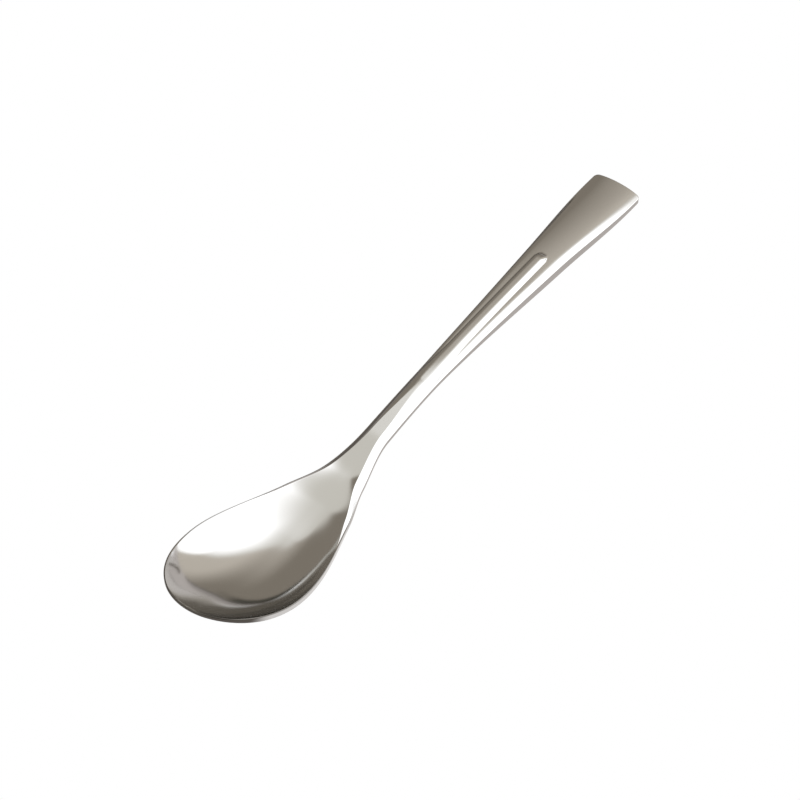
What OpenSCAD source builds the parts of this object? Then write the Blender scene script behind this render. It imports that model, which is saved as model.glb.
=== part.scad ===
// Coffee spoon, struck from one piece of stainless steel.
// It lies as it rests on a table: the belly of the bowl and the end of the handle touch z = 0.
// X runs from the tip of the bowl to the end of the handle and Y across it.
// Distances "from the tip" and "from the end" are measured along X.

/* [Overall] */
// Length from the tip of the bowl to the end of the handle
length = 120; // [105:1:145]
// Radius of the broken edge all round the spoon
edge_r = 0.3; // [0.2:0.05:0.4]

/* [Bowl outline] */
// Width of the bowl at its widest
bowl_w = 22.4; // [18:0.1:27]
// Widest place of the bowl, from the tip
widest_at = 15.1; // [12:0.1:18.5]
// Fullness of the rounded front, where 2 is an ellipse
front_power = 2.05; // [1.9:0.05:2.6]
// Width across the flank of the bowl, where it narrows fastest
flank_w = 13.3; // [11:0.1:16]
// Place of that flank, from the tip
flank_at = 33.4; // [29:0.1:37]
// Rise of the slope beside the hollow at the flank
flank_rise = 0.5; // [0.3:0.05:0.8]
// Width of that slope at the flank
flank_slope_w = 0.6; // [0.5:0.05:1]

/* [Bowl form] */
// Height of the tip of the rim above the table
tip_h = 12.4; // [10:0.1:15]
// Height of the rim at the widest place
rim_h = 7.05; // [6:0.05:8.5]
// Place where the belly touches the table, from the tip
rest_at = 26; // [23:0.5:30]
// Thickness of the metal in the bowl
bowl_wall = 1.5; // [1.2:0.05:1.8]
// Height of the upright edge all round the rim of the bowl
rim_edge = 0.8; // [0.6:0.05:1.1]
// Sweep of the belly from the tip down to the table
belly_power = 2.4; // [2:0.1:3.4]
// Fullness of the hollow across the bowl, where 2 is a parabola
hollow_power = 2.9; // [2:0.05:3.4]
// Place where the hollow starts to run out, from the tip
runout_at = 34; // [31:0.5:38]
// Heel of the hollow, where it ends in the neck, from the tip
heel_at = 47; // [44:0.5:52]

/* [Neck] */
// Shoulder, where the edge is lowest, from the tip
shoulder_at = 40.7; // [38:0.1:43.5]
// Width at the shoulder
shoulder_w = 7.95; // [6.8:0.05:9.4]
// Height of the edge at the shoulder
shoulder_h = 2.35; // [2.2:0.05:2.8]
// Height of the underside at the shoulder
shoulder_under = 1.4; // [1:0.05:1.6]
// Rise of the slope beside the hollow at the shoulder
shoulder_rise = 1.1; // [0.9:0.05:1.4]
// Width of that slope at the shoulder
shoulder_slope_w = 1.05; // [0.8:0.05:1.3]
// Throat of the neck, from the tip
throat_at = 50; // [47.5:0.5:53]
// Width at the throat
throat_w = 4.4; // [4.2:0.05:5.2]
// Height of the edge at the throat
throat_h = 4.1; // [3.5:0.05:4.6]
// Rise of the flat above the edge at the throat
throat_rise = 0.85; // [0.6:0.05:1.1]
// Width of each slope beside the flat at the throat
throat_slope_w = 1; // [0.8:0.02:1.3]
// Waist, the narrowest and highest place, from the tip
waist_at = 62.5; // [58:0.5:68]
// Width at the waist
waist_w = 4.2; // [3.6:0.05:4.6]
// Height of the edge at the waist
waist_h = 4.75; // [4.4:0.05:5.4]
// Height of the underside at the waist
waist_under = 3; // [2.6:0.05:3.4]
// Rise of the ridge above the edge at the waist
waist_rise = 1; // [0.7:0.05:1.3]
// Height of the upright edge on the neck
neck_edge = 0.95; // [0.7:0.05:1.1]

/* [Handle] */
// Width of the handle where it ends
end_w = 9.2; // [8:0.1:10.8]
// Place of the last full width, from the end
end_flare = 3; // [2.2:0.1:4]
// Radius of the corners in plan
corner_r = 0.9; // [0.5:0.05:1.3]
// Bow of the end edge
end_bow = 0.3; // [0.1:0.05:0.6]
// Height of the upright edge at the end
end_h = 1.1; // [0.9:0.05:1.5]
// Rise of the crown of the handle above its edges, at the tip of the rib
crown = 0.78; // [0.5:0.02:1]
// Rise of the crown at the end
end_crown = 0.36; // [0.2:0.02:0.6]
// Rise of the wings where the rib stands free
crown_start = 0.5; // [0.3:0.02:0.7]
// Flatness of the wings beside the rib
wing_power = 9; // [5:0.5:11]
// Flatness of the crown near the end
crown_power = 5.5; // [3.5:0.5:7]
// Part of the crown that is a plain arc
crown_arc = 0.1; // [0:0.02:0.4]

/* [Rib] */
// Tip of the rib, from the end of the handle
rib_end = 22.7; // [18:0.1:27]
// Width of the rib at its tip
rib_w = 2.35; // [1.9:0.05:2.8]
// Width of the rib where it leaves the neck
rib_root_w = 2.6; // [2.2:0.05:3]
// Distance from the waist to where the rib stands free
rib_start = 10; // [7:0.5:13]
// Rise of the rib above the wings
rib_rise = 0.6; // [0.4:0.05:0.8]
// Flatness of the rib across its top
rib_power = 3.6; // [2.4:0.1:4.8]
// Length of the rounded tip of the rib
rib_nose = 1.8; // [1.2:0.1:2.6]
// Width of the handle at the tip of the rib
rib_end_w = 6.87; // [6:0.01:8]
// Height of the edge there
rib_end_h = 3.27; // [3:0.01:3.6]
// Height of the underside there
rib_end_under = 1.1; // [0.9:0.05:1.4]
// Height of the upright edge there
rib_end_edge = 1.9; // [1.5:0.05:2.2]
// Width of the handle where the rib stands free
rib_start_w = 4.7; // [4.3:0.05:5.6]

/* [Hidden] */

steel = [0.78, 0.78, 0.76];

// Short level run before a line starts to climb
lead = 1;

// Profile of the slopes beside the flat of the neck, where 1 is a plain bevel
slope_power = 1.15;

// Width that is left for the slope where it runs out
least_slope = edge_r / 4;

// Fineness along the spoon: sections round the front and the corners, and their spacing elsewhere
front_steps = 20;
section_gap = 1.45;
nose_gap = 0.45;
corner_steps = 4;
corner_turn = 80.5;
end_steps = 3;

// Fineness of one half of a section: floor, slope, wing, rounded edge and underside
floor_steps = 8;
slope_steps = 3;
wing_steps = 3;
edge_steps = 2;
under_steps = 6;

// Share of the metal that each rounding of the edge may take where the metal is thin
edge_share = 0.3;

// The last section at either end is this wide, and its two sides are joined straight across
blade_w = 2.4;

rib_end_x = length - rib_end;
rib_nose_x = rib_end_x - rib_nose;
rib_start_x = waist_at + rib_start;
end_flare_x = length - end_flare;
corner_x = length - end_bow - corner_r;

// Slopes that carry a smooth curve through points [x, value] without overshooting
function secant(p, i) = (p[i + 1][1] - p[i][1]) / (p[i + 1][0] - p[i][0]);
function slope(p, i) =
    i == 0 ? secant(p, 0) :
    i == len(p) - 1 ? secant(p, i - 1) :
    let (a = secant(p, i - 1), b = secant(p, i), wa = p[i][0] - p[i - 1][0], wb = p[i + 1][0] - p[i][0])
    a * b <= 0 ? 0 : 3 * (wa + wb) / ((2 * wb + wa) / a + (wb + 2 * wa) / b);
function cubic(p, i, x) =
    let (h = p[i + 1][0] - p[i][0], t = (x - p[i][0]) / h)
    p[i][1] * (1 + 2 * t) * pow(1 - t, 2) + slope(p, i) * h * t * pow(1 - t, 2)
    + p[i + 1][1] * t * t * (3 - 2 * t) + slope(p, i + 1) * h * t * t * (t - 1);
function curve(p, x, i = 0) =
    x <= p[0][0] ? p[0][1] :
    x >= p[len(p) - 1][0] ? p[len(p) - 1][1] :
    x <= p[i + 1][0] ? cubic(p, i, x) : curve(p, x, i + 1);
function ease(a, b, x) = let (t = min(1, max(0, (x - a) / (b - a)))) t * t * (3 - 2 * t);
function blend(a, b, t) = a + (b - a) * t;

// Half width of the outline, drawn in by inset, before the corners of the end are rounded
side_line = [
    [widest_at - lead, bowl_w / 2],
    [widest_at, bowl_w / 2],
    [flank_at, flank_w / 2],
    [shoulder_at, shoulder_w / 2],
    [throat_at, throat_w / 2],
    [waist_at, waist_w / 2],
    [rib_start_x, rib_start_w / 2],
    [rib_end_x, rib_end_w / 2],
    [end_flare_x, end_w / 2],
    [length, end_w / 2]
];
front_reach = pow(1 - pow(blade_w / bowl_w, front_power), -1 / front_power);
function front_line(x, inset) =
    let (t = (widest_at - x) / (widest_at - inset) / front_reach)
    (bowl_w / 2 - inset) * pow(1 - pow(t, front_power), 1 / front_power);
function half_w(x, inset = 0) =
    x < inset ? 0 : x < widest_at ? front_line(x, inset) : curve(side_line, x) - inset;

// Heights along the spoon: the edge, the underside on the middle line, the upright edge and the metal
edge_line = [
    [0, tip_h],
    [widest_at, rim_h],
    [shoulder_at, shoulder_h],
    [throat_at, throat_h],
    [waist_at, waist_h],
    [rib_end_x, rib_end_h],
    [length, end_h]
];
under_line = [
    [rest_at - lead, 0],
    [rest_at, 0],
    [shoulder_at, shoulder_under],
    [waist_at, waist_under],
    [rib_end_x, rib_end_under],
    [end_flare_x, 0]
];
band_line = [
    [0, rim_edge],
    [rest_at, rim_edge],
    [shoulder_at, neck_edge],
    [waist_at, neck_edge],
    [rib_end_x, rib_end_edge],
    [length, end_h]
];
wall_line = [
    [edge_r, rim_edge],
    [rest_at, bowl_wall],
    [rest_at + lead, bowl_wall]
];
function edge_h(x) = curve(edge_line, x);
function band(x) = curve(band_line, x);
function belly_h(x) =
    x > rest_at ? 0 :
    (edge_h(edge_r) - rim_edge) * pow((rest_at - max(x, edge_r)) / (rest_at - edge_r), belly_power);
function under_h(x) = belly_h(x) + curve(under_line, x);

// The ridge: the slopes beside the hollow, the flat of the neck and then the rib
ridge_line = [
    [rest_at - lead, 0],
    [rest_at, 0],
    [flank_at, flank_rise],
    [shoulder_at, shoulder_rise],
    [throat_at, throat_rise],
    [waist_at, waist_rise],
    [rib_start_x, rib_rise],
    [rib_end_x, rib_rise]
];
slope_line = [
    [rest_at - lead, 0],
    [rest_at, 0],
    [flank_at, flank_slope_w],
    [shoulder_at, shoulder_slope_w],
    [throat_at, throat_slope_w],
    [waist_at, waist_w / 2]
];
foot_line = [
    [waist_at, waist_w / 2],
    [rib_start_x, rib_root_w / 2],
    [rib_end_x, rib_w / 2]
];
function inner_w(x) = half_w(x, edge_r);
function flat_w(x) = x > waist_at ? 0 : max(0, inner_w(x) - curve(slope_line, x));
function foot_w(x) = x < waist_at ? inner_w(x) : min(inner_w(x), curve(foot_line, x));
function ridge_power(x) = blend(slope_power, rib_power, ease(throat_at, rib_start_x, x));
function nose(x) = max(0, x - rib_nose_x) / rib_nose;
function ridge(x, y) =
    let (flat = flat_w(x), foot = max(foot_w(x), flat + least_slope))
    let (q = max(0, (y - flat) / (foot - flat)))
    curve(ridge_line, x) * max(0, 1 - pow(q, ridge_power(x)) - pow(nose(x), 2));

// The hollow of the bowl, as deep as the metal under it allows, and its runout at the heel
function hollow_depth(x) =
    x < edge_r || x > heel_at ? 0 :
    max(0, edge_h(x) + curve(ridge_line, x) - curve(wall_line, x) - under_h(x))
    * (1 - ease(runout_at, heel_at, x));
function hollow(x, y) =
    let (flat = flat_w(x))
    y >= flat ? 0 : hollow_depth(x) * (1 - pow(y / flat, hollow_power));

// The crown of the handle
crown_line = [
    [waist_at, 0],
    [rib_start_x, crown_start],
    [rib_end_x, crown],
    [length, end_crown]
];
function crown_h(x, s) =
    let (power = blend(wing_power, crown_power, ease(rib_end_x, end_flare_x, x)))
    curve(crown_line, x) * (1 - blend(pow(s, power), s * s, crown_arc));
function across(x, y) = inner_w(x) <= 0 ? 1 : min(1, y / inner_w(x));
function top(x, y) =
    edge_h(x) + crown_h(x, across(x, y)) + ridge(x, y) - hollow(x, y);

// The underside: the same curve as the hollow under the bowl, a round belly under the neck
function under(x, y) =
    let (rim = edge_h(x) - band(x), sag = max(0, rim - under_h(x)), turn = ease(rest_at, throat_at, x))
    rim - sag * pow(1 - pow(across(x, y), blend(hollow_power, 2, turn)), blend(1, 0.5, turn));

// Outline as points [x, half width], from the tip round to the middle of the end
function spread(a, b, gap) =
    let (steps = ceil((b - a) / gap))
    [for (i = [1 : steps]) let (x = blend(a, b, i / steps)) [x, half_w(x)]];

front_start = acos(1 / front_reach);
front_points = [
    for (i = [0 : front_steps])
        let (x = widest_at * (1 - front_reach * cos(blend(front_start, 90, i / front_steps))))
        [x, half_w(x)]
];
corner_w = half_w(corner_x);
corner_points = [
    for (i = [1 : corner_steps])
        let (a = corner_turn * i / corner_steps)
        [corner_x + corner_r * sin(a), corner_w - corner_r * (1 - cos(a))]
];
bow_start = corner_points[corner_steps - 1];
function bow(y) = (y * y - pow(blade_w / 2, 2)) / (pow(bow_start[1], 2) - pow(blade_w / 2, 2));
end_points = [
    for (i = [1 : end_steps])
        let (y = blend(bow_start[1], blade_w / 2, i / end_steps))
        [length - (length - bow_start[0]) * bow(y), y]
];
outline = concat(
    front_points,
    spread(widest_at, rest_at, section_gap),
    spread(rest_at, rib_nose_x, section_gap),
    spread(rib_nose_x, rib_end_x, nose_gap),
    spread(rib_end_x, corner_x, section_gap),
    corner_points,
    end_points
);
last = len(outline) - 1;

// Direction from a point of the outline straight into the metal
function inward(i) =
    let (d = outline[min(last, i + 1)] - outline[max(0, i - 1)], n = norm(d))
    [d[1], -d[0]] / n;

// Places across one half, from the middle line (0) to the inner side of the edge (1)
bowl_share = 0.64;
core_share = 0.3;
widest_share = 0.93;
function slope_share(x) =
    let (s = max(flat_w(x), core_share * foot_w(x)) / inner_w(x))
    blend(bowl_share, min(widest_share, s), ease(widest_at, flank_at, x));
function foot_share(x) =
    let (s = slope_share(x))
    blend((1 + s) / 2, min(widest_share, foot_w(x) / inner_w(x)), ease(waist_at, rib_start_x, x));
function shares(x) =
    let (s = slope_share(x), f = foot_share(x))
    [
        for (i = [0 : floor_steps]) s * i / floor_steps,
        for (i = [1 : slope_steps]) blend(s, f, i / slope_steps),
        for (i = [1 : wing_steps]) blend(f, 1, i / wing_steps)
    ];

// One half of a section, from the middle of the top round the edge to the middle below
function half_section(i) =
    let (p = outline[i], n = inward(i), q = p + n * edge_r)
    let (upper = top(q[0], q[1]), lower = under(q[0], q[1]), r = min(edge_r, edge_share * (upper - lower)))
    [
        for (s = shares(q[0])) [q[0], s * q[1], top(q[0], s * q[1])],
        for (k = [1 : edge_steps])
            let (a = 90 * k / edge_steps, e = p + n * edge_r * (1 - sin(a)))
            [e[0], e[1], upper - r * (1 - cos(a))],
        for (k = [0 : edge_steps - 1])
            let (a = 90 * k / edge_steps, e = p + n * edge_r * (1 - cos(a)))
            [e[0], e[1], lower + r * (1 - sin(a))],
        for (k = [0 : under_steps])
            let (s = 1 - k / under_steps)
            [q[0], s * q[1], under(q[0], s * q[1])]
    ];

// Numbers of the points in one half: last of the top, first and last of the edge, last below
top_last = floor_steps + slope_steps + wing_steps;
edge_first = top_last + 1;
edge_last = top_last + 2 * edge_steps;
half_last = edge_last + under_steps + 1;
ring_points = 2 * half_last;
function mirrored(k) = (ring_points - k) % ring_points;

// The whole section: one half, then its mirror image without the two middle points
function section(i) =
    let (h = half_section(i))
    concat(h, [for (k = [half_last - 1 : -1 : 1]) [h[k][0], -h[k][1], h[k][2]]]);

// Skin between one section and the next
function skin(i) = [
    for (k = [0 : ring_points - 1])
        let (n = (k + 1) % ring_points, a = i * ring_points, b = a + ring_points)
        each [[a + k, b + n, b + k], [a + k, a + n, b + n]]
];

// Closed end: fans along the top and the underside, and strips straight across the edge
end_fans = [
    for (k = [0 : top_last - 1]) [k, k + 1, edge_first],
    for (k = [edge_last + 1 : half_last - 1]) [edge_last, k, k + 1]
];
end_strips = [
    [0, edge_first, mirrored(edge_first)],
    for (k = [edge_first : edge_last - 1])
        each [[k, k + 1, mirrored(k)], [k + 1, mirrored(k + 1), mirrored(k)]],
    [edge_last, half_last, mirrored(edge_last)]
];
function reversed(f) = [f[2], f[1], f[0]];
end_faces = concat(
    end_fans,
    [for (f = end_fans) reversed([mirrored(f[0]), mirrored(f[1]), mirrored(f[2])])],
    end_strips
);

module spoon() {
    color(steel)
        translate([-length / 2, 0, 0])
            polyhedron(
                points = [for (i = [0 : last]) each section(i)],
                faces = concat(
                    [for (i = [0 : last - 1]) each skin(i)],
                    [for (f = end_faces) reversed(f)],
                    [for (f = end_faces) f + last * ring_points * [1, 1, 1]]
                )
            );
}

spoon();
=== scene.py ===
import math

import bpy
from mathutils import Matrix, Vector


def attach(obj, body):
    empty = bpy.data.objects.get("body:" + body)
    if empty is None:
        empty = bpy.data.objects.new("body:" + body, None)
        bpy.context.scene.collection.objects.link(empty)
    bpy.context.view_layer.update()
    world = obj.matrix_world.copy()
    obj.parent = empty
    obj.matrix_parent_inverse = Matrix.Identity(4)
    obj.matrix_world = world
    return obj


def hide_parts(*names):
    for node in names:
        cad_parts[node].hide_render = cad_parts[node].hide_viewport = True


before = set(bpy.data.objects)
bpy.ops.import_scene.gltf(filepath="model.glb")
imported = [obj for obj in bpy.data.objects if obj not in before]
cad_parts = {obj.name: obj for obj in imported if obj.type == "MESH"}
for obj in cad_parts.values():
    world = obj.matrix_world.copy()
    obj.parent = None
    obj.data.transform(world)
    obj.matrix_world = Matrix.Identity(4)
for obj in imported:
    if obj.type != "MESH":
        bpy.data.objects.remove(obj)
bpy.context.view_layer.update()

# Numbers in a node tree


class Value:
    """A number in a node tree. Arithmetic on it adds Math nodes to that tree."""

    def __init__(self, socket):
        self.socket = socket

    def __add__(self, other):
        return calc("ADD", self, other)

    def __radd__(self, other):
        return calc("ADD", other, self)

    def __sub__(self, other):
        return calc("SUBTRACT", self, other)

    def __rsub__(self, other):
        return calc("SUBTRACT", other, self)

    def __mul__(self, other):
        return calc("MULTIPLY", self, other)

    def __rmul__(self, other):
        return calc("MULTIPLY", other, self)

    def __truediv__(self, other):
        return calc("DIVIDE", self, other)

    def __rtruediv__(self, other):
        return calc("DIVIDE", other, self)

    def __pow__(self, other):
        return calc("POWER", self, other)


def wire(node, socket, value):
    """Links a value into a socket, or sets a plain number or vector on it."""
    socket = node.inputs[socket]
    if isinstance(value, Value):
        socket.id_data.links.new(value.socket, socket)
    else:
        socket.default_value = value


def tree_of(*numbers):
    """The node tree that the first value among the numbers belongs to."""
    return next(n.socket.id_data for n in numbers if isinstance(n, Value))


def calc(operation, *numbers):
    """The result of one Math node."""
    node = tree_of(*numbers).nodes.new("ShaderNodeMath")
    node.operation = operation
    for i, number in enumerate(numbers):
        wire(node, i, number)
    return Value(node.outputs[0])


def lowest(a, b):
    return calc("MINIMUM", a, b)


def highest(a, b):
    return calc("MAXIMUM", a, b)


def over(a, b):
    """1 where a is greater than b, else 0."""
    return calc("GREATER_THAN", a, b)


def blend(a, b, t):
    """From a to b as t goes from 0 to 1."""
    return a + (b - a) * t


def passed(start, stop, x, way="LINEAR"):
    """How much of the stretch from start to stop lies behind x, from 0 to 1."""
    node = tree_of(start, stop, x).nodes.new("ShaderNodeMapRange")
    node.interpolation_type = way
    wire(node, "Value", x)
    wire(node, "From Min", start)
    wire(node, "From Max", stop)
    return Value(node.outputs["Result"])


def ease(start, stop, x):
    """As passed, but setting off and arriving gently."""
    return passed(start, stop, x, "SMOOTHSTEP")


def new_tree(name, inputs, outputs):
    """A Geometry Nodes tree, its input values by name, and its output node."""
    tree = bpy.data.node_groups.new(name, "GeometryNodeTree")
    for label, start in inputs.items():
        socket = tree.interface.new_socket(label, in_out="INPUT", socket_type="NodeSocketFloat")
        socket.default_value = start
    for label, kind in outputs.items():
        tree.interface.new_socket(label, in_out="OUTPUT", socket_type=kind)
    source = tree.nodes.new("NodeGroupInput")
    values = {label: Value(source.outputs[label]) for label in inputs}
    return tree, values, tree.nodes.new("NodeGroupOutput")


def rule_group(name, labels, rule):
    """A group that works out one number from named numbers."""
    tree, values, sink = new_tree(name, dict.fromkeys(labels, 0.0), {"Result": "NodeSocketFloat"})
    wire(sink, "Result", rule(*values.values()))
    return tree


def use(group, *numbers):
    """The one number that a group works out."""
    node = tree_of(*numbers).nodes.new("GeometryNodeGroup")
    node.node_tree = group
    for i, number in enumerate(numbers):
        wire(node, i, number)
    return Value(node.outputs[0])


# Smooth lines through stations


def station_slope(x0, y0, x1, y1, x2, y2):
    """The slope at the middle one of three stations, level where the line turns back there."""
    wa, wb = x1 - x0, x2 - x1
    a, b = (y1 - y0) / wa, (y2 - y1) / wb
    mean = (wa + wb) * 3 / ((wb * 2 + wa) / a + (wb + wa * 2) / b)
    return mean * over(a * b, 0.0)


def rail_run(x, x0, y0, m0, x1, y1, m1):
    """How far a line has risen at x, between stations with slopes m0 and m1."""
    t, h, rise = passed(x0, x1, x), x1 - x0, y1 - y0
    square = rise * 3 - h * (m0 * 2 + m1)
    cube = h * (m0 + m1) - rise * 2
    return ((cube * t + square) * t + h * m0) * t


SLOPE = rule_group("Slope at a station", ("x0", "y0", "x1", "y1", "x2", "y2"), station_slope)
RUN = rule_group("Run between stations", ("x", "x0", "y0", "m0", "x1", "y1", "m1"), rail_run)


def rail(x, *stations):
    """A smooth line through stations (place, value), level outside them, that never swings past them."""
    slopes = [(b[1] - a[1]) / (b[0] - a[0]) for a, b in (stations[:2], stations[-2:])]
    inner = [use(SLOPE, *a, *b, *c) for a, b, c in zip(stations, stations[1:], stations[2:])]
    slopes[1:1] = inner
    line = stations[0][1]
    for i, (a, b) in enumerate(zip(stations, stations[1:])):
        line = line + use(RUN, x, *a, slopes[i], *b, slopes[i + 1])
    return line


# The spoon

# Millimetres; places along the spoon are from the tip of the bowl unless the name says otherwise.
# Fullness and flatness are powers: the higher, the flatter in the middle and the steeper at the side.
# Arcs are the share of an even curve in the crown of the handle.
SIZES = {
    "Length": 120.0,
    "Edge radius": 0.16,
    "Bowl width": 22.4,
    "Widest at": 15.1,
    "Front fullness": 2.05,
    "Flank width": 13.3,
    "Flank at": 33.4,
    "Flank rise": 0.5,
    "Flank slope": 0.6,
    "Tip height": 12.35,
    "Rim height": 7.05,
    "Rest at": 26.0,
    "Bowl wall": 1.5,
    "Tip edge": 0.8,
    "Tip edge up to": 1.0,
    "Rim edge": 1.3,
    "Rim edge from": 8.0,
    "Belly sweep": 2.4,
    "Hollow fullness": 2.9,
    "Runout at": 34.0,
    "Heel at": 47.0,
    "Shoulder at": 40.7,
    "Shoulder width": 7.95,
    "Shoulder height": 2.35,
    "Shoulder underside": 1.4,
    "Shoulder rise": 1.1,
    "Shoulder slope": 1.05,
    "Throat at": 50.0,
    "Throat width": 4.4,
    "Throat height": 4.1,
    "Throat rise": 0.85,
    "Throat slope": 1.0,
    "Throat flatness": 1.15,
    "Waist at": 62.5,
    "Waist width": 4.2,
    "Waist height": 4.75,
    "Waist underside": 3.0,
    "Waist rise": 1.0,
    "Neck edge": 0.95,
    "End width": 9.2,
    "End flare": 3.0,
    "Corner radius": 0.9,
    "End bow": 0.3,
    "End height": 1.1,
    "End edge": 1.1,
    "Crown": 0.9,
    "End crown": 0.36,
    "Crown at rib start": 0.62,
    "Crown flatness": 13.0,
    "End flatness": 5.5,
    "Crown arc": 0.04,
    "Crown arc up to nose less": 6.0,
    "Tail arc": 0.2,
    "Tail arc past rib": 3.0,
    "End arc": 0.5,
    "Rib from end": 22.7,
    "Rib width": 2.25,
    "Rib root width": 2.5,
    "Rib start after waist": 10.0,
    "Rib rise": 0.6,
    "Rib nose": 1.8,
    "Rib flatness": 4.5,
    "Rib end width": 6.87,
    "Rib end height": 3.27,
    "Rib end underside": 1.1,
    "Rib end edge": 1.9,
    "Rib start width": 4.7,
}

# Sections along the spoon and points round one half of a section, zone by zone
ALONG = {"front": 64, "body": 280, "nose": 18, "tail": 58, "corner": 12, "end": 14}
ROUND = {"floor": 24, "slope": 10, "wing": 12, "upper": 4, "wall": 3, "lower": 4, "under": 20}
CORNER_TURN = math.radians(80.5)
QUARTER_TURN = math.pi / 2
# Where the floor zone ends in the bowl, which has no crease there, as a share of the half width
BOWL_SHARE = 0.64
# A crease lies at least this share of the foot, and at most this share of the half width, off the middle
LEAST_SHARE, MOST_SHARE = 0.3, 0.93
# The broken edge takes at most this share of the metal's thickness
EDGE_SHARE = 0.3
# The brink, which takes the painted rim shade, begins at this share of the wing
BRINK_FROM = 0.9
MILLIMETRE = 0.001
SEAM_GAP = 2e-7


def zones(counts, x):
    """How much of each zone lies behind x, by name."""
    parts, start = {}, 0
    for name, count in counts.items():
        parts[name] = passed(float(start), float(start + count), x)
        start += count
    return parts


def spoon_tree(steel):
    """The spoon as one skin of sections lofted from the tip to the end of the handle."""
    tree, size, sink = new_tree("Coffee spoon loft", SIZES, {"Geometry": "NodeSocketGeometry"})
    nodes, links = tree.nodes, tree.links
    last, half = sum(ALONG.values()), sum(ROUND.values())

    grid = nodes.new("GeometryNodeMeshGrid")
    wire(grid, "Size X", float(last))
    wire(grid, "Size Y", float(2 * half))
    wire(grid, "Vertices X", last + 1)
    wire(grid, "Vertices Y", 2 * half + 1)
    place = nodes.new("ShaderNodeSeparateXYZ")
    links.new(nodes.new("GeometryNodeInputPosition").outputs[0], place.inputs[0])
    station = Value(place.outputs["X"]) + last / 2
    turn = Value(place.outputs["Y"])
    side = 1 - over(turn, 0.0) * 2
    along = zones(ALONG, station)
    around = zones(ROUND, half - calc("ABSOLUTE", turn))

    # Places and sizes that several lines share
    edge = size["Edge radius"]
    widest, waist, throat = size["Widest at"], size["Waist at"], size["Throat at"]
    rest, shoulder, heel = size["Rest at"], size["Shoulder at"], size["Heel at"]
    length, corner = size["Length"], size["Corner radius"]
    rib_end = length - size["Rib from end"]
    rib_nose = rib_end - size["Rib nose"]
    rib_start = waist + size["Rib start after waist"]
    flare = length - size["End flare"]
    corner_at = length - size["End bow"] - corner

    # Outline in plan: a rounded front, the long sides, the corners and the bowed end
    spin = along["front"] * QUARTER_TURN
    turned = along["corner"] * CORNER_TURN
    line_x = (
        widest
        + (rib_nose - widest) * along["body"]
        + (rib_end - rib_nose) * along["nose"]
        + (corner_at - rib_end) * along["tail"]
    )
    line_w = rail(
        line_x,
        (widest - 1, size["Bowl width"] / 2),
        (widest, size["Bowl width"] / 2),
        (size["Flank at"], size["Flank width"] / 2),
        (shoulder, size["Shoulder width"] / 2),
        (throat, size["Throat width"] / 2),
        (waist, size["Waist width"] / 2),
        (rib_start, size["Rib start width"] / 2),
        (rib_end, size["Rib end width"] / 2),
        (flare, size["End width"] / 2),
        (length, size["End width"] / 2),
    )
    fullness = size["Front fullness"]
    front = (1 - calc("COSINE", spin) ** fullness) ** (1.0 / fullness)
    corner_reach = corner * calc("SINE", turned)
    corner_drop = corner * (1 - calc("COSINE", turned))
    bow_left = length - corner_at - corner_reach
    plan_x = (
        line_x - widest * calc("COSINE", spin) + corner_reach
        + bow_left * (1 - (1 - along["end"]) ** 2.0)
    )
    plan_w = (line_w * front - corner_drop) * (1 - along["end"])

    # Direction from the outline into the metal, from the sections before and after
    index = Value(nodes.new("GeometryNodeInputIndex").outputs[0])
    row = 2 * half + 1

    def at(value, which):
        """The value at the point with that index."""
        node = nodes.new("GeometryNodeFieldAtIndex")
        node.data_type = "FLOAT"
        wire(node, "Value", value)
        wire(node, "Index", which)
        return Value(node.outputs[0])

    before = highest(index - row, 0.0)
    after = lowest(index + row, float((last + 1) * row - 1))
    between = over(station, 0.5) * over(last - 0.5, station)
    run = (at(plan_x, after) - at(plan_x, before)) * between
    widen = at(plan_w, after) - at(plan_w, before)
    step = calc("SQRT", run * run + widen * widen)
    in_x, in_w = widen / step, (0 - run) / step
    x = plan_x + in_x * edge
    w = highest(plan_w + in_w * edge, 0.0)
    rounded = over(station, last - ALONG["corner"] - ALONG["end"] - 0.5)
    full_w = blend(w, line_w - edge, rounded)

    # Ridge: slopes beside the hollow, the flat of the neck, then the rib
    slope_w = rail(
        x,
        (rest - 1, 0.0),
        (rest, 0.0),
        (size["Flank at"], size["Flank slope"]),
        (shoulder, size["Shoulder slope"]),
        (throat, size["Throat slope"]),
        (waist, size["Waist width"] / 2),
    )
    flat = highest(full_w - slope_w, 0.0) * over(waist, x)
    rib_foot = rail(
        x,
        (waist, size["Waist width"] / 2),
        (rib_start, size["Rib root width"] / 2),
        (rib_end, size["Rib width"] / 2),
    )
    # The foot stays a little outside the flat, so that the side of the ridge always has a width
    foot = highest(blend(full_w, lowest(full_w, rib_foot), over(x, waist)), flat + edge / 4)

    # Share of the half width of each point, with points on the creases
    crease = lowest(highest(flat, foot * LEAST_SHARE) / full_w, MOST_SHARE)
    slope_share = blend(BOWL_SHARE, crease, ease(widest, size["Flank at"], x))
    foot_crease = lowest(foot / full_w, MOST_SHARE)
    foot_share = blend((slope_share + 1) / 2, foot_crease, ease(waist, rib_start, x))
    share = (
        slope_share * around["floor"]
        + (foot_share - slope_share) * around["slope"]
        + (1 - foot_share) * around["wing"]
        - around["under"]
    )
    y = share * w
    across = lowest(y / full_w, 1.0)

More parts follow.
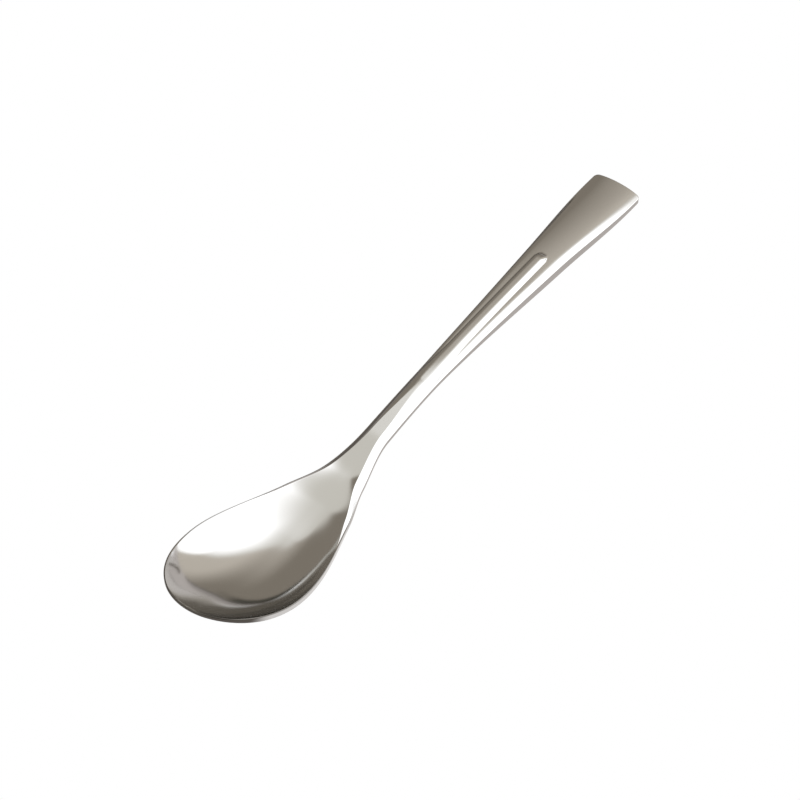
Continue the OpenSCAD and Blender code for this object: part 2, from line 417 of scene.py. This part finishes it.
    # Upper side
    edge_h = rail(
        x,
        (0.0, size["Tip height"]),
        (widest, size["Rim height"]),
        (shoulder, size["Shoulder height"]),
        (throat, size["Throat height"]),
        (waist, size["Waist height"]),
        (rib_end, size["Rib end height"]),
        (length, size["End height"]),
    )
    wall = rail(x, (edge, size["Tip edge"]), (rest, size["Bowl wall"]), (rest + 1, size["Bowl wall"]))
    belly_from = size["Tip height"] - size["Tip edge"]
    belly = belly_from * (highest(rest - x, 0.0) / (rest - edge)) ** size["Belly sweep"]
    under_h = belly + rail(
        x,
        (rest - 1, 0.0),
        (rest, 0.0),
        (shoulder, size["Shoulder underside"]),
        (waist, size["Waist underside"]),
        (rib_end, size["Rib end underside"]),
        (flare, 0.0),
    )
    ridge_h = rail(
        x,
        (rest - 1, 0.0),
        (rest, 0.0),
        (size["Flank at"], size["Flank rise"]),
        (shoulder, size["Shoulder rise"]),
        (throat, size["Throat rise"]),
        (waist, size["Waist rise"]),
        (rib_start, size["Rib rise"]),
        (rib_end, size["Rib rise"]),
    )
    ridge_power = blend(size["Throat flatness"], size["Rib flatness"], ease(throat, rib_start, x))
    nose = highest(x - rib_nose, 0.0) / size["Rib nose"]
    down = highest(y - flat, 0.0) / (foot - flat)
    ridge = ridge_h * highest(1 - down**ridge_power - nose * nose, 0.0)
    depth = highest(edge_h + ridge_h - wall - under_h, 0.0) * (1 - ease(size["Runout at"], heel, x))
    hollow = depth * highest(1 - (y / flat) ** size["Hollow fullness"], 0.0)
    crown_h = rail(
        x,
        (waist, 0.0),
        (rib_start, size["Crown at rib start"]),
        (rib_end, size["Crown"]),
        (length, size["End crown"]),
    )
    flatness = blend(size["Crown flatness"], size["End flatness"], ease(rib_end, flare, x))
    arc = rail(
        x,
        (rib_nose - size["Crown arc up to nose less"], size["Crown arc"]),
        (rib_end + size["Tail arc past rib"], size["Tail arc"]),
        (length, size["End arc"]),
    )
    crown = crown_h * (1 - blend(across**flatness, across * across, arc))
    top = edge_h + crown + ridge - hollow

    # Underside
    band = rail(
        x,
        (size["Tip edge up to"], size["Tip edge"]),
        (size["Rim edge from"], size["Rim edge"]),
        (rest, size["Rim edge"]),
        (shoulder, size["Neck edge"]),
        (waist, size["Neck edge"]),
        (rib_end, size["Rib end edge"]),
        (length, size["End edge"]),
    )
    rim = edge_h - band
    sag = highest(rim - under_h, 0.0)
    change = ease(rest, throat, x)
    round_off = (1 - across ** blend(size["Hollow fullness"], 2.0, change)) ** blend(1.0, 0.5, change)
    under = rim - sag * round_off

    # Broken edge: a quarter round above, the upright wall and a quarter round below
    above, below = around["upper"] * QUARTER_TURN, around["lower"] * QUARTER_TURN
    out = calc("SINE", above) * calc("COSINE", below)
    radius = lowest(edge, (top - under) * EDGE_SHARE)
    upper = top - radius * (1 - calc("COSINE", above))
    lower = under + radius * (1 - calc("SINE", below))
    z = blend(upper, lower, around["wall"])

    point = nodes.new("ShaderNodeCombineXYZ")
    wire(point, "X", (x - in_x * edge * out - length / 2) * MILLIMETRE)
    wire(point, "Y", (y - in_w * edge * out) * side * MILLIMETRE)
    wire(point, "Z", z * MILLIMETRE)

    # The masks for the finish and for the painted rim shade are stored while the grid still lies flat,
    # as its places give the zones
    chain = [grid]
    brink = ease(BRINK_FROM, 1.0, around["wing"]) * ease(1.0, 0.5, around["upper"])
    for name, mask in {"edge": out, "brink": brink}.items():
        store = nodes.new("GeometryNodeStoreNamedAttribute")
        wire(store, "Name", name)
        wire(store, "Value", mask)
        chain.append(store)

    shape = nodes.new("GeometryNodeSetPosition")
    links.new(point.outputs[0], shape.inputs["Position"])
    closed = nodes.new("GeometryNodeMergeByDistance")
    wire(closed, "Distance", SEAM_GAP)
    smooth = nodes.new("GeometryNodeSetShadeSmooth")
    real = nodes.new("GeometryNodeRealizeInstances")
    finish = nodes.new("GeometryNodeSetMaterial")
    finish.inputs["Material"].default_value = steel
    chain += [shape, closed, smooth, real, finish]
    for a, b in zip(chain, chain[1:]):
        links.new(a.outputs[0], b.inputs["Geometry"])
    links.new(finish.outputs[0], sink.inputs["Geometry"])
    return tree


def make_spoon(steel):
    """Runs the loft once and keeps its result as a plain mesh."""
    tree = spoon_tree(steel)
    maker = bpy.data.objects.new("spoon_maker", bpy.data.meshes.new("spoon_maker"))
    bpy.context.scene.collection.objects.link(maker)
    loft = maker.modifiers.new("Loft", "NODES")
    loft.node_group = tree
    for socket in tree.interface.items_tree:
        if socket.in_out == "INPUT":
            loft[socket.identifier] = SIZES[socket.name]
    made = bpy.data.meshes.new_from_object(maker.evaluated_get(bpy.context.evaluated_depsgraph_get()))
    bpy.data.objects.remove(maker)
    made.name = "spoon_body"
    piece = bpy.data.objects.new("spoon_body", made)
    bpy.context.scene.collection.objects.link(piece)
    return piece


# Colours in a node tree


def srgb(r, g, b, strength=1.0):
    """A colour as a picture editor names it, 0 to 255, in the scene's own numbers."""
    tones = [((c / 255 + 0.055) / 1.055) ** 2.4 if c > 10 else c / 255 / 12.92 for c in (r, g, b)]
    return [tone * strength for tone in tones] + [1.0]


WHITE = srgb(255, 255, 255)


def paint(tree, below, mask, colour):
    """Lays a colour over what is below, as far as the mask goes from 0 to 1."""
    node = tree.nodes.new("ShaderNodeMix")
    node.data_type = "RGBA"
    wire(node, "Factor", mask)
    wire(node, "A", below)
    wire(node, "B", colour)
    return Value(node.outputs["Result"])


def parts_of(tree, socket):
    """The three numbers of a vector."""
    split = tree.nodes.new("ShaderNodeSeparateXYZ")
    tree.links.new(socket, split.inputs[0])
    return [Value(part) for part in split.outputs]


def light_path(tree, name):
    return Value(tree.nodes.new("ShaderNodeLightPath").outputs[name])


# Finish of the steel

# The last grey is painted shade for the bowl's rim
STEEL_GREY, STEEL_LIGHT, RIM_SHADE_GREY = srgb(206, 206, 206), srgb(211, 211, 211), srgb(104, 101, 97)
ROUGHNESS = 0.115
# How far hairlines, cloudiness and the polish of the edge change the roughness
HAIRLINE_ROUGH, CLOUD_ROUGH, EDGE_POLISH = 0.05, 0.03, 0.02
# The hairlines run along the spoon
HAIRLINE_SCALE, HAIRLINE_STRETCH = 900, (0.12, 1, 1)
HAIRLINE_DEPTH, HAIRLINE_STRENGTH = 0.0002, 0.003
CLOUD_SCALE = 60
# The bowl's edge is darkened with painted shade from here forwards, and more at the tip, in metres from
# the middle
RIM_SHADE_FROM, RIM_SHADE_FULL = -0.02, -0.03
TIP_FROM, TIP_FULL = -0.043, -0.053


def steel_material():
    """Polished stainless steel with faint hairlines, and painted shade along the rounded edge at the
    front of the bowl.
    """
    steel = bpy.data.materials.new("polished_stainless")
    steel.use_nodes = True
    tree = steel.node_tree
    nodes, links = tree.nodes, tree.links
    shader = nodes["Principled BSDF"]
    shader.inputs["Metallic"].default_value = 1.0
    where = nodes.new("ShaderNodeTexCoord").outputs["Object"]

    def noise(scale, detail, stretch=(1, 1, 1)):
        mapping = nodes.new("ShaderNodeMapping")
        mapping.inputs["Scale"].default_value = stretch
        links.new(where, mapping.inputs["Vector"])
        node = nodes.new("ShaderNodeTexNoise")
        node.inputs["Scale"].default_value = scale
        node.inputs["Detail"].default_value = detail
        links.new(mapping.outputs[0], node.inputs["Vector"])
        return Value(node.outputs["Fac"])

    def attribute(name):
        node = nodes.new("ShaderNodeAttribute")
        node.attribute_name = name
        return Value(node.outputs["Fac"])

    hairlines = noise(HAIRLINE_SCALE, 3, HAIRLINE_STRETCH)
    cloudy = noise(CLOUD_SCALE, 2)
    edge, brink = attribute("edge"), attribute("brink")
    rough = (
        ROUGHNESS + (hairlines - 0.5) * HAIRLINE_ROUGH
        + (cloudy - 0.5) * CLOUD_ROUGH - edge * EDGE_POLISH
    )
    wire(shader, "Roughness", rough)

    to_end = parts_of(tree, where)[0]
    # Painted shade: the rounded edge and the brink at the front of the bowl are darkened, standing in
    # for the shaded floor that the rim mirrors
    rounding = ease(0.0, 0.3, edge) * ease(1.0, 0.97, edge)
    rim_shade = 0.8 * ease(RIM_SHADE_FROM, RIM_SHADE_FULL, to_end) + 0.2 * ease(TIP_FROM, TIP_FULL, to_end)
    metal = paint(tree, STEEL_GREY, cloudy, STEEL_LIGHT)
    metal = paint(tree, metal, highest(rounding, brink) * rim_shade, RIM_SHADE_GREY)
    wire(shader, "Base Color", metal)

    bump = nodes.new("ShaderNodeBump")
    bump.inputs["Strength"].default_value = HAIRLINE_STRENGTH
    bump.inputs["Distance"].default_value = HAIRLINE_DEPTH
    wire(bump, "Height", hairlines)
    links.new(bump.outputs[0], shader.inputs["Normal"])
    return steel


# Floor, light and camera

FLOOR_REACH, FLOOR_HEIGHT = 3.0, -0.00002
# The steel sends back about this share of the light, so the room is brighter than its mirror image
STEEL_SHARE = 0.64


def make_floor():
    """A white floor for the camera. The steel mirrors it as a pale table with shade beside the spoon."""
    mesh = bpy.data.meshes.new("floor")
    r, z = FLOOR_REACH, FLOOR_HEIGHT
    mesh.from_pydata([(-r, -r, z), (r, -r, z), (r, r, z), (-r, r, z)], [], [(0, 1, 2, 3)])
    floor = bpy.data.objects.new("floor", mesh)
    bpy.context.scene.collection.objects.link(floor)
    paper = bpy.data.materials.new("studio_floor")
    paper.use_nodes = True
    tree = paper.node_tree
    tree.nodes.remove(tree.nodes["Principled BSDF"])
    where = tree.nodes.new("ShaderNodeTexCoord").outputs["Object"]
    to_end, far_side, _ = parts_of(tree, where)
    length, bounces = light_path(tree, "Ray Length"), light_path(tree, "Ray Depth")

    # Places are metres from the middle of the spoon, and for the ray's length from the steel
    # Lighter in front of the bowl, and lit by the window on the near side
    table = paint(tree, srgb(206, 199, 194), ease(-0.022, -0.028, to_end), srgb(245, 241, 238))
    near = ease(-0.012, -0.02, far_side) * ease(-0.035, -0.025, to_end)
    beside_bowl = ease(0.0, 0.01, 0.02 - far_side * 1.5 - to_end)
    table = paint(tree, table, near * beside_bowl, srgb(255, 255, 255, 1.5))

    # Shade on the far side, close behind the spoon, under the tip, and in what the bowl mirrors twice
    far = ease(0.02, 0.035, far_side) * 0.5 + ease(0.07, 0.1, far_side) * 0.5
    behind = ease(0.0, 0.004, far_side) * ease(0.06, 0.02, far_side) * ease(-0.022, -0.014, to_end)
    under_tip = ease(-0.050, -0.057, to_end)
    close = ease(0.05, 0.035, length) * highest(behind, under_tip)
    once = ease(1.6, 1.4, bounces) * highest(far, close)
    again = ease(1.4, 1.6, bounces) * ease(0.0, 0.01, far_side)
    table = paint(tree, table, highest(once, again), srgb(104, 98, 92))

    glow = tree.nodes.new("ShaderNodeEmission")
    wire(glow, "Color", paint(tree, table, light_path(tree, "Is Camera Ray"), WHITE))
    tree.links.new(glow.outputs[0], tree.nodes["Material Output"].inputs["Surface"])
    mesh.materials.append(paper)


def make_studio():
    """The room that the steel mirrors: a large soft window, a pale wall and a dim far side."""
    world = bpy.data.worlds.new("studio")
    bpy.context.scene.world = world
    world.use_nodes = True
    tree = world.node_tree
    to_x, to_y, to_z = parts_of(tree, tree.nodes.new("ShaderNodeTexCoord").outputs["Generated"])
    gain = 1 / STEEL_SHARE
    bounces = light_path(tree, "Ray Depth")

    def towards(a, b, c):
        """How far the direction leans to (a, b, c)."""
        return to_x * a + to_y * b + to_z * c

    # The room, dimmer on the far side, with a dark corner low beyond the end of the handle
    room = srgb(179, 172, 161, gain)
    dim = ease(-0.16, 0.28, towards(0.0, 1.0, -0.456))
    room = paint(tree, room, dim, srgb(119, 112, 102, gain))
    corner = ease(0.14, 0.06, to_z) * ease(0.35, 0.43, to_y) * ease(0.4, 0.65, to_x)
    room = paint(tree, room, corner, srgb(58, 56, 50, gain))

    # The window, with an edge that grows softer towards the end of the handle, and the pale wall
    upper = towards(-0.546, -0.637, 0.544)
    lower = towards(-0.379, -0.918, 0.117)
    soft = ease(0.48, 0.68, to_x)
    above = ease(-1.0, 0.0, (upper + 0.05 - soft * 0.07) / (0.05 + soft * 0.1))
    window = highest(above, ease(-0.02, 0.02, lower))
    wall = ease(-0.58, -0.49, towards(-0.92, -0.389, -0.046))
    room = paint(tree, room, highest(window, wall), srgb(194, 191, 183, gain))
    full = ease(0.04, 0.52, towards(1.0, -0.376, 0.0)) * ease(-0.15, 0.2, highest(upper, lower * 2.0))
    room = paint(tree, room, window * full, srgb(255, 255, 255, 1.25 * gain))

    # What the bowl mirrors more than once
    twice, thrice = ease(2.4, 2.6, bounces), ease(3.4, 3.6, bounces)
    light_band = twice * ease(-0.1, -0.2, to_y) * ease(0.6, 0.8, to_x)
    room = paint(tree, room, light_band, srgb(208, 203, 198, gain))
    dark_band = twice * ease(-0.17, 0.0, to_y) * ease(0.35, 0.65, to_x)
    room = paint(tree, room, dark_band, srgb(98, 92, 83, gain))
    room = paint(tree, room, thrice * ease(-0.1, 0.1, to_y), srgb(88, 83, 75, gain))

    # A dark patch in the window, and the white surround that the camera sees
    patch = ease(0.8, 0.9, towards(-0.62, -0.55, 0.56))
    room = paint(tree, room, patch, srgb(70, 66, 60, gain))
    room = paint(tree, room, light_path(tree, "Is Camera Ray"), WHITE)
    wire(tree.nodes["Background"], "Color", room)


# The photo's view: degrees, millimetres of lens, and metres
AZIMUTH, ELEVATION, DISTANCE = -53.755, 51.939, 0.7
LENS, SENSOR = 191.7, 36.0
AIM_HEIGHT, AIM_RIGHT, AIM_UP = 0.003, -0.002208, -0.000144


def make_camera():
    """A long lens that looks down at the spoon from the photo's side."""
    data = bpy.data.cameras.new("camera")
    data.sensor_width = SENSOR
    data.lens = LENS
    data.clip_start, data.clip_end = 0.01, 20.0
    camera = bpy.data.objects.new("camera", data)
    bpy.context.scene.collection.objects.link(camera)
    azimuth, elevation = math.radians(AZIMUTH), math.radians(ELEVATION)
    back = Vector((
        math.sin(azimuth) * math.cos(elevation),
        -math.cos(azimuth) * math.cos(elevation),
        math.sin(elevation),
    ))
    right = Vector((math.cos(azimuth), math.sin(azimuth), 0.0))
    aim = Vector((0.0, 0.0, AIM_HEIGHT)) + right * AIM_RIGHT + back.cross(right) * AIM_UP
    camera.location = aim + back * DISTANCE
    camera.rotation_mode = "QUATERNION"
    camera.rotation_quaternion = (-back).to_track_quat("-Z", "Y")
    bpy.context.scene.camera = camera


spoon = make_spoon(steel_material())
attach(spoon, "root")
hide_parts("spoon")
make_floor()
make_studio()
make_camera()
bpy.context.scene.view_settings.view_transform = "Standard"
